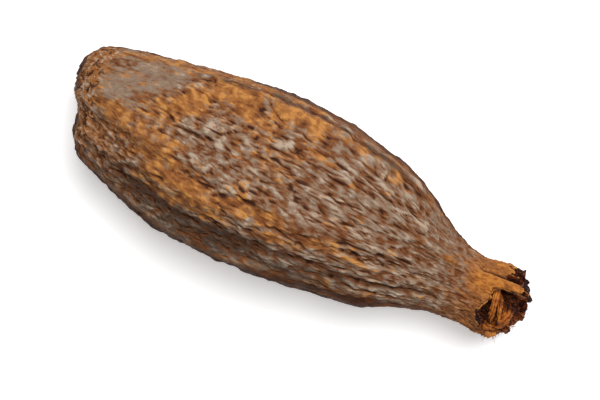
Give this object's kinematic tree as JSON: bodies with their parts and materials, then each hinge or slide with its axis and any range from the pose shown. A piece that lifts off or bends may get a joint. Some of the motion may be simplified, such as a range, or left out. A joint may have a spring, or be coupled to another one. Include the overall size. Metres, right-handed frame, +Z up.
{
  "type": "alligator pepper pod",
  "caption": "Dried alligator pepper pod lying on its side: a ribbed, wrinkled husk with a blunt base and a slender neck, torn open at the mouth over dry shreds of the flower tube.",
  "frame": {"origin": "on the surface that the pod rests on, under the middle of its bounding box", "axes": "+X along the pod from the blunt base to the torn mouth, +Z up from the resting surface, +Y across the pod"},
  "size_m": [0.064, 0.0228, 0.0202],
  "materials": {
    "husk_skin": "matte, wrinkled dried skin: grey-beige bloom in the furrows over worn orange-brown ridges",
    "dried_flower_tube": "matte golden-brown papery fibre"
  },
  "bodies": {
    "root": {"husk": "husk_skin", "flower_tube_strip": "dried_flower_tube", "flower_tube_curl": "dried_flower_tube", "flower_tube_scrap": "dried_flower_tube", "style_stub": "dried_flower_tube"}
  },
  "joints": []
}
